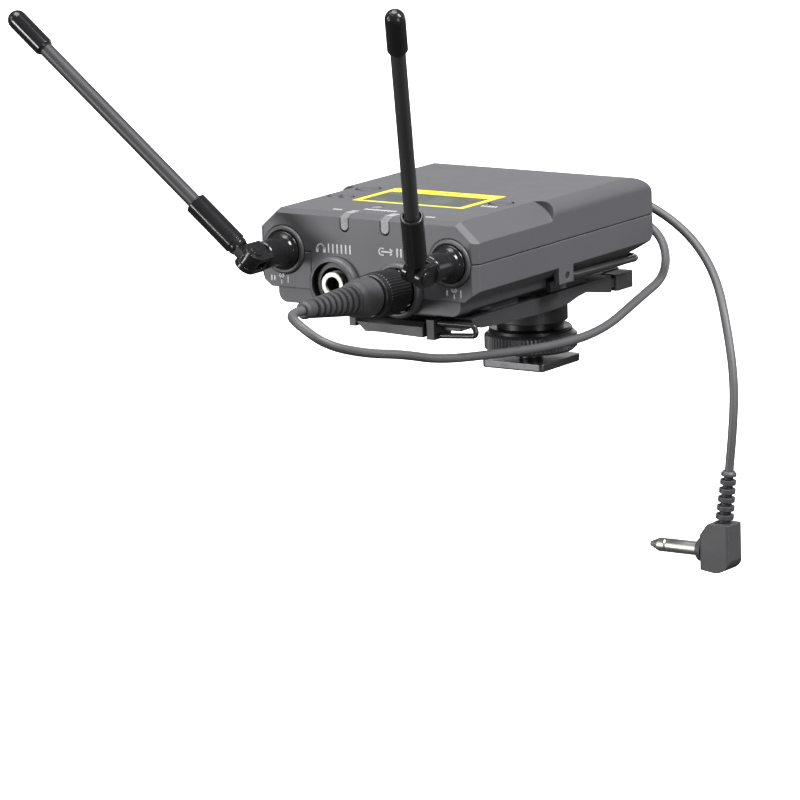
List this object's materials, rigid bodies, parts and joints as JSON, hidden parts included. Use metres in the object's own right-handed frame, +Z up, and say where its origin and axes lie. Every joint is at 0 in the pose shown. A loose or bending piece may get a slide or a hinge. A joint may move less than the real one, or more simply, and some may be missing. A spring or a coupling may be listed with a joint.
{
  "type": "camera-mount wireless receiver",
  "caption": "Pocket wireless audio receiver with two jointed aerials, a display, a locking output lead with an angled plug, and a hot-shoe adaptor.",
  "frame": {"origin": "middle of the shoe foot's underside", "axes": "+Z up through the post, -Y towards the jack panel, +X to the right of someone facing the jack panel"},
  "size_m": [0.1527, 0.1618, 0.1551],
  "materials": {
    "case": "fine satin texture",
    "case_trim": "satin",
    "display_frame": "bright yellow print under clear plastic",
    "display_window": "clear window over a grey-green display",
    "button_rubber": "soft matte",
    "dark_window": "smoked",
    "light_pipe": "clear milky",
    "board": "lacquered circuit board",
    "chip": "matte",
    "plated_steel": "nickel plated",
    "bright_metal": "polished nickel",
    "jack_plastic": "matte",
    "battery_wrap": "printed foil",
    "spring_wire": "black oxide wire",
    "adaptor_metal": "black powder coat",
    "wheel_metal": "black anodised, knurled",
    "foot_metal": "dark plated",
    "aerial_knuckle": "satin black",
    "aerial_rod": "smooth rubber sheath",
    "pin_steel": "black oxide",
    "plug_rubber": "soft moulded",
    "cord_sheath": "satin jacket"
  },
  "bodies": {
    "body": {"top_shell": "case", "bottom_shell": "case", "shell_screws": "plated_steel", "lcd_frame": "display_frame", "lcd_window": "display_window", "lcd_module": "display_window", "button_mat": "button_rubber", "infrared_window": "dark_window", "light_pipes": "light_pipe", "main_board": "board", "rf_shield": "plated_steel", "board_chips": "chip", "jack_rings": "case_trim", "phones_jack_barrel": "bright_metal", "phones_jack": "jack_plastic", "output_jack_barrel": "bright_metal", "output_jack": "jack_plastic", "aerial_sockets": "case_trim", "battery_tray": "jack_plastic", "battery_cells": "battery_wrap", "battery_contacts": "plated_steel", "door_hinge_pin": "plated_steel", "adaptor_plate": "adaptor_metal", "adaptor_screws": "plated_steel", "latch_pin": "plated_steel", "wire_loop": "spring_wire", "shoe_post": "adaptor_metal", "shoe_foot": "foot_metal", "output_plug_pin": "bright_metal", "output_plug_body": "plug_rubber", "output_plug_relief": "plug_rubber", "output_cord": "cord_sheath", "mic_plug_relief": "plug_rubber", "mic_plug_body": "plug_rubber", "mic_plug_pin": "bright_metal"},
    "aerial_a_swivel": {"aerial_a_base": "aerial_knuckle", "aerial_a_pin": "pin_steel"},
    "aerial_a_arm": {"aerial_a_sleeve": "aerial_knuckle", "aerial_a_rod": "aerial_rod", "aerial_a_cap": "aerial_knuckle"},
    "aerial_b_swivel": {"aerial_b_base": "aerial_knuckle", "aerial_b_pin": "pin_steel"},
    "aerial_b_arm": {"aerial_b_sleeve": "aerial_knuckle", "aerial_b_rod": "aerial_rod", "aerial_b_cap": "aerial_knuckle"},
    "plus_button": {"button_plus": "button_rubber"},
    "minus_button": {"button_minus": "button_rubber"},
    "set_button": {"button_set": "button_rubber"},
    "power_button": {"button_power": "button_rubber"},
    "door": {"battery_door": "case_trim"},
    "catch_right": {"door_catch_right": "case_trim"},
    "catch_left": {"door_catch_left": "case_trim"},
    "clip": {"wire_clip": "spring_wire"},
    "latch": {"front_latch": "adaptor_metal"},
    "lever": {"release_lever": "adaptor_metal"},
    "washer": {"pressure_washer": "wheel_metal"},
    "wheel": {"lock_wheel": "wheel_metal"},
    "collar": {"output_plug_collar": "wheel_metal"}
  },
  "joints": [
    {"name": "aerial_a_swivel", "type": "hinge", "parent": "body", "child": "aerial_a_swivel", "pos_m": [0.024, -0.077, 0.03905], "axis": [0, 1, 0], "range_deg": [-30.7, 89.3]},
    {"name": "aerial_a_elbow", "type": "hinge", "parent": "aerial_a_swivel", "child": "aerial_a_arm", "pos_m": [0.024, -0.0863, 0.03905], "axis": [-0.9354, 0, 0.3535], "range_deg": [-58.8, 31.2]},
    {"name": "aerial_b_swivel", "type": "hinge", "parent": "body", "child": "aerial_b_swivel", "pos_m": [-0.024, -0.077, 0.03905], "axis": [0, -1, 0], "range_deg": [-58.8, 61.2]},
    {"name": "aerial_b_elbow", "type": "hinge", "parent": "aerial_b_swivel", "child": "aerial_b_arm", "pos_m": [-0.024, -0.0863, 0.03905], "axis": [-0.6587, 0, -0.7524], "range_deg": [-86.5, 3.5]},
    {"name": "plus_button_press", "type": "slide", "parent": "body", "child": "plus_button", "axis": [0, 0, -1], "range_m": [0, 0.0004], "stiffness_N_per_m": 1500, "springref_m": -0.0002},
    {"name": "minus_button_press", "type": "slide", "parent": "body", "child": "minus_button", "axis": [0, 0, -1], "range_m": [0, 0.0004], "stiffness_N_per_m": 1500, "springref_m": -0.0002},
    {"name": "set_button_press", "type": "slide", "parent": "body", "child": "set_button", "axis": [0, 0, -1], "range_m": [0, 0.0004], "stiffness_N_per_m": 1500, "springref_m": -0.0002},
    {"name": "power_button_press", "type": "slide", "parent": "body", "child": "power_button", "axis": [0, 0, -1], "range_m": [0, 0.0004], "stiffness_N_per_m": 1500, "springref_m": -0.0002},
    {"name": "battery_door_hinge", "type": "hinge", "parent": "body", "child": "door", "pos_m": [0, -0.0593, 0.0274], "axis": [-1, 0, 0], "range_deg": [0, 80]},
    {"name": "catch_right_slide", "type": "slide", "parent": "body", "child": "catch_right", "axis": [0, 1, 0], "range_m": [0, 0.0025]},
    {"name": "catch_left_slide", "type": "slide", "parent": "body", "child": "catch_left", "axis": [0, 1, 0], "range_m": [0, 0.0025]},
    {"name": "wire_clip_hinge", "type": "hinge", "parent": "body", "child": "clip", "pos_m": [0, -0.0317, 0.0301], "axis": [-1, 0, 0], "range_deg": [-0.5, 3.2]},
    {"name": "front_latch_hinge", "type": "hinge", "parent": "body", "child": "latch", "pos_m": [0, -0.0664, 0.0227], "axis": [1, 0, 0], "range_deg": [0, 45], "stiffness_Nm_per_rad": 0.004, "springref_deg": -11.46},
    {"name": "release_lever_slide", "type": "slide", "parent": "body", "child": "lever", "axis": [0, -1, 0], "range_m": [0, 0.002], "stiffness_N_per_m": 300, "springref_m": -0.0005},
    {"name": "pressure_washer_slide", "type": "slide", "parent": "body", "child": "washer", "axis": [0, 0, 1], "range_m": [-0.0015, 0.0014]},
    {"name": "lock_wheel_turn", "type": "hinge", "parent": "washer", "child": "wheel", "pos_m": [0, 0, 0.006], "axis": [0, 0, 1], "range_deg": [-676, 631]},
    {"name": "output_plug_collar_turn", "type": "hinge", "parent": "body", "child": "collar", "pos_m": [0.0092, -0.07799, 0.03187], "axis": [0, -0.999, 0.0454], "continuous": true}
  ],
  "couplings": [
    {"joint": "lock_wheel_turn", "follows": "pressure_washer_slide", "rad_per_m": 7854}
  ]
}
